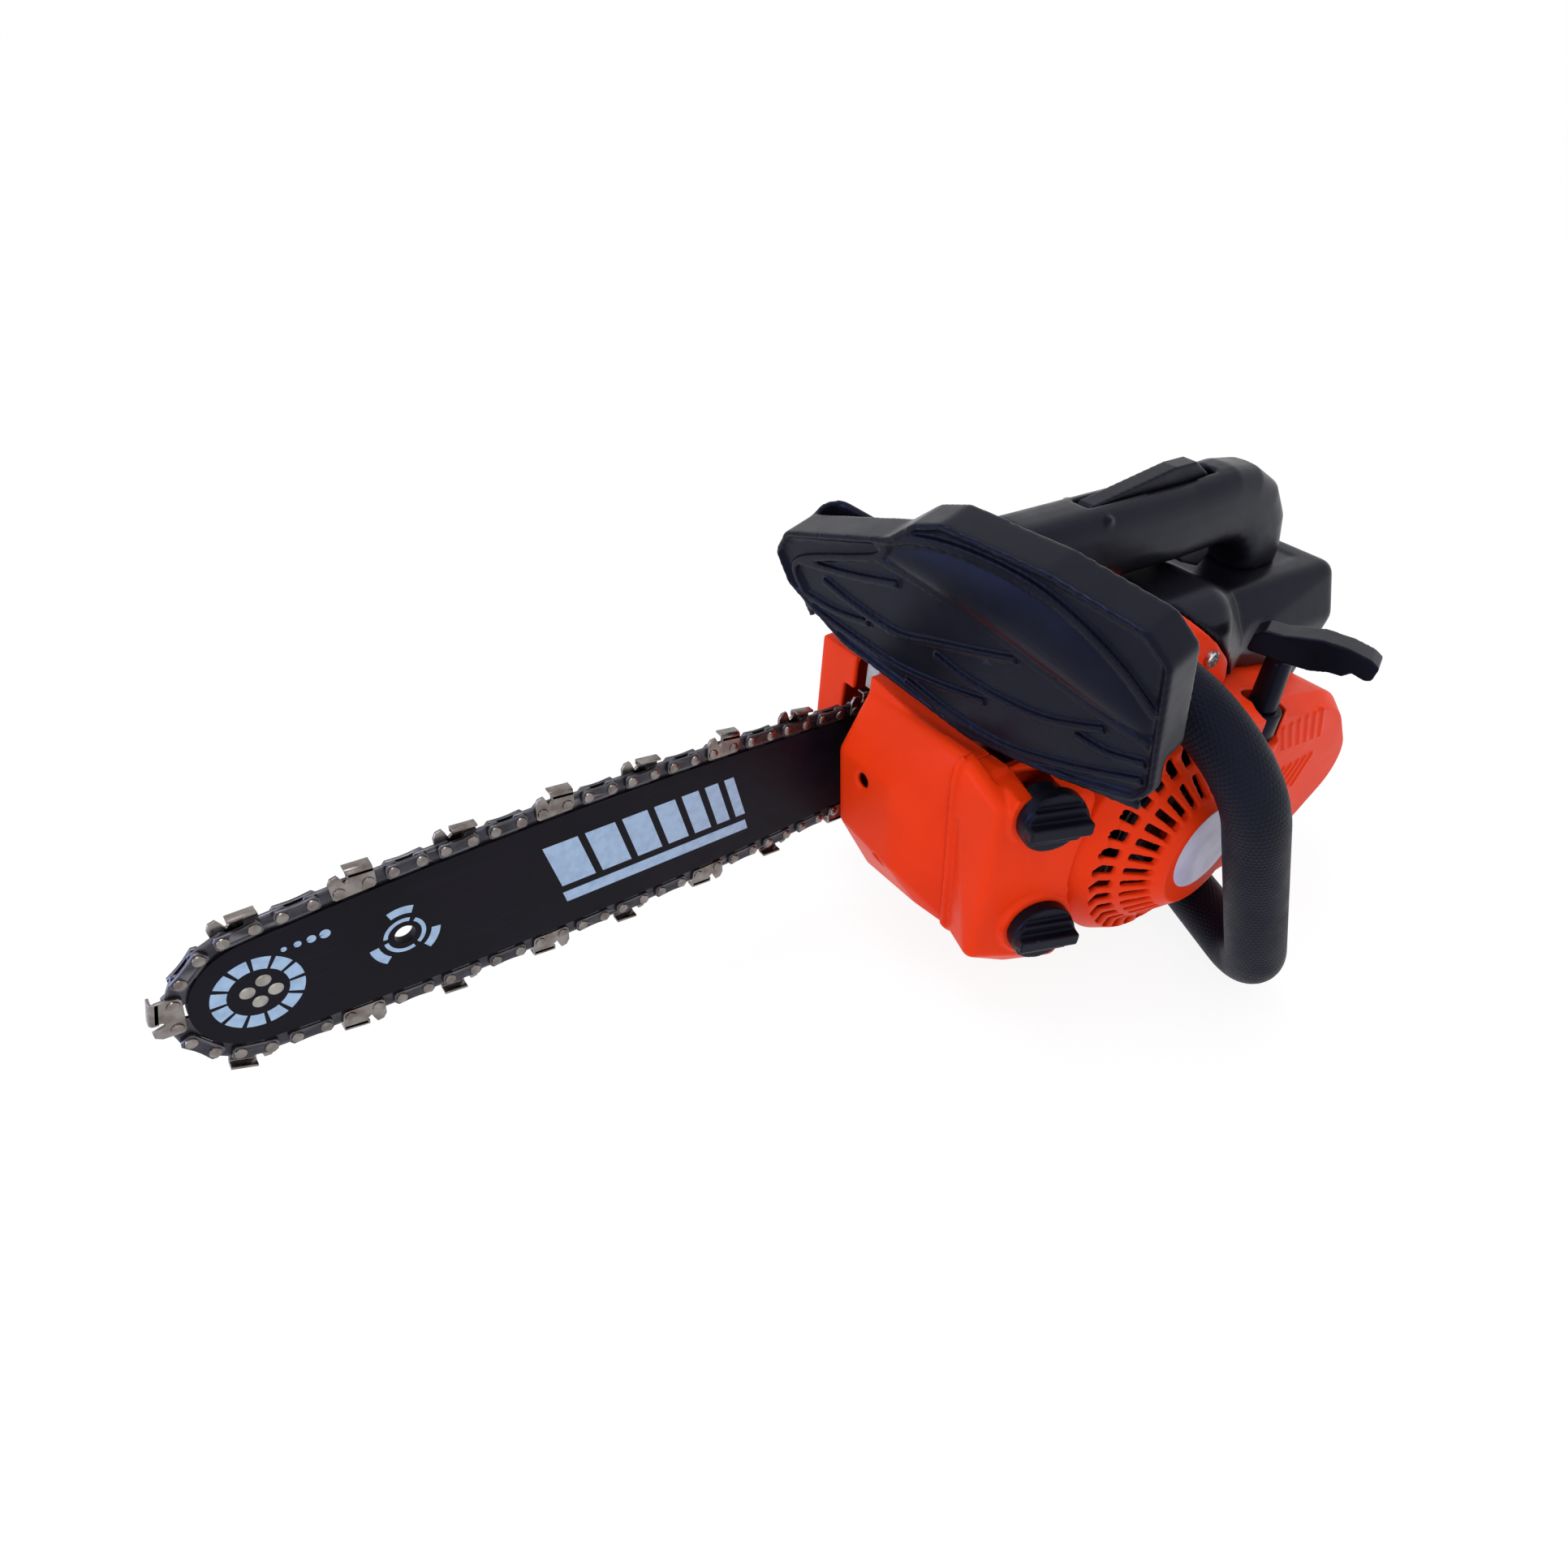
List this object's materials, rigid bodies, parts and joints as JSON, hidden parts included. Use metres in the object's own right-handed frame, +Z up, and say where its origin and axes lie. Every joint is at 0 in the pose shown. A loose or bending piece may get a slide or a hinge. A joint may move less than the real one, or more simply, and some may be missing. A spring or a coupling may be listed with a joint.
{
  "type": "top-handle chainsaw",
  "caption": "Top-handle petrol chainsaw with orange and black casings, a tube front handle, a tipping hand guard, a pull starter and a narrow bar with its cutting chain.",
  "frame": {"origin": "on the ground, straight under the crank axis, in the mid-plane of the cylinder", "axes": "+X to the nose of the bar, +Y to the starter side, +Z up"},
  "size_m": [0.5316, 0.2093, 0.2246],
  "materials": {
    "orange_plastic": "satin",
    "black_plastic": "satin",
    "red_plastic": "gloss",
    "rubber": "matte",
    "cast_alloy": "cast",
    "steel": "satin",
    "chain_steel": "satin",
    "cutter_steel": "polished",
    "bar_paint": "satin",
    "muffler_steel": "matte",
    "filter_felt": "matte",
    "rope_fibre": "matte"
  },
  "bodies": {
    "powerhead": {"crankcase_left": "cast_alloy", "crankcase_right": "cast_alloy", "main_bearings": "steel", "cylinder": "cast_alloy", "spark_plug": "steel", "plug_cap": "rubber", "muffler": "muffler_steel", "intake_manifold": "rubber", "carburettor": "cast_alloy", "filter_base": "black_plastic", "air_filter": "filter_felt", "filter_cover": "black_plastic", "cylinder_cover": "orange_plastic", "ignition_coil": "black_plastic", "starter_housing": "orange_plastic", "recoil_spring": "steel", "rope_guide": "black_plastic", "inner_rope": "rope_fibre", "starter_rope": "rope_fibre", "clutch_drum": "steel", "drum_bearing": "steel", "brake_band": "steel", "oil_pump": "cast_alloy", "clutch_cover": "orange_plastic", "bar_studs": "steel", "bar_nuts": "steel", "chain_tensioner": "steel", "guide_bar": "bar_paint", "nose_sprocket": "steel", "drive_links": "chain_steel", "tie_straps": "chain_steel", "left_cutters": "cutter_steel", "right_cutters": "cutter_steel", "chain_rivets": "chain_steel", "tank_right": "orange_plastic", "tank_left": "orange_plastic", "top_handle": "black_plastic", "front_handle": "black_plastic", "handle_sleeve": "rubber", "housing_screws": "steel"},
    "crank": {"crankshaft": "steel", "flywheel": "cast_alloy", "flywheel_nut": "steel", "clutch_shoes": "steel", "clutch_spring": "steel"},
    "piston_set": {"piston": "cast_alloy", "piston_pin": "steel", "piston_rings": "steel"},
    "rod": {"connecting_rod": "steel", "crankpin": "steel"},
    "pull_grip": {"starter_grip": "black_plastic"},
    "pulley": {"starter_pulley": "black_plastic"},
    "trigger": {"throttle_trigger": "black_plastic"},
    "throttle": {"throttle_shaft": "steel"},
    "choke": {"choke_lever": "black_plastic"},
    "lockout": {"lockout_lever": "black_plastic"},
    "guard": {"hand_guard": "black_plastic"},
    "fuel_filler": {"fuel_cap": "black_plastic"},
    "oil_filler": {"oil_cap": "black_plastic"},
    "stop_button": {"stop_switch": "red_plastic"}
  },
  "joints": [
    {"name": "crank_spin", "type": "hinge", "parent": "powerhead", "child": "crank", "pos_m": [0, 0, 0.08], "axis": [0, 1, 0], "continuous": true},
    {"name": "piston_stroke", "type": "slide", "parent": "powerhead", "child": "piston_set", "axis": [0, 0, 1], "range_m": [-0.028, 0]},
    {"name": "rod_swing", "type": "hinge", "parent": "piston_set", "child": "rod", "pos_m": [0, 0, 0.14], "axis": [0, 1, 0], "range_deg": [-17.7, 17.7]},
    {"name": "starter_pull", "type": "slide", "parent": "powerhead", "child": "pull_grip", "axis": [0, 0, 1], "range_m": [0, 0.5], "stiffness_N_per_m": 8, "springref_m": -0.2, "deforming": ["starter_rope"]},
    {"name": "pulley_spin", "type": "hinge", "parent": "powerhead", "child": "pulley", "pos_m": [0, 0.06, 0.08], "axis": [0, -1, 0], "range_deg": [0, 1378]},
    {"name": "trigger_squeeze", "type": "hinge", "parent": "powerhead", "child": "trigger", "pos_m": [-0.042, 0, 0.182], "axis": [0, 1, 0], "range_deg": [0, 16], "stiffness_Nm_per_rad": 0.05, "springref_deg": -14.32},
    {"name": "throttle_turn", "type": "hinge", "parent": "powerhead", "child": "throttle", "pos_m": [-0.055, 0, 0.131], "axis": [0, 1, 0], "range_deg": [0, 75]},
    {"name": "choke_turn", "type": "hinge", "parent": "powerhead", "child": "choke", "pos_m": [-0.068, 0, 0.131], "axis": [0, -1, 0], "range_deg": [0, 75]},
    {"name": "lockout_press", "type": "hinge", "parent": "powerhead", "child": "lockout", "pos_m": [0.018, 0, 0.205], "axis": [0, -1, 0], "range_deg": [0, 7], "stiffness_Nm_per_rad": 0.1, "springref_deg": -14.32},
    {"name": "guard_tip", "type": "hinge", "parent": "powerhead", "child": "guard", "pos_m": [0.048, 0, 0.144], "axis": [0, 1, 0], "range_deg": [0, 7]},
    {"name": "fuel_cap_turn", "type": "hinge", "parent": "powerhead", "child": "fuel_filler", "pos_m": [0.068, 0.0605, 0.053], "axis": [0.3419, 0.9397, 0], "range_deg": [0, 270]},
    {"name": "oil_cap_turn", "type": "hinge", "parent": "powerhead", "child": "oil_filler", "pos_m": [0.076, 0.0575, 0.114], "axis": [0.3419, 0.9397, 0], "range_deg": [0, 270]},
    {"name": "stop_press", "type": "slide", "parent": "powerhead", "child": "stop_button", "axis": [0, 0, -1], "range_m": [0, 0.002]}
  ],
  "couplings": [
    {"joint": "pulley_spin", "follows": "starter_pull", "rad_per_m": 48.077},
    {"joint": "throttle_turn", "follows": "trigger_squeeze", "ratio": 4.6875}
  ]
}
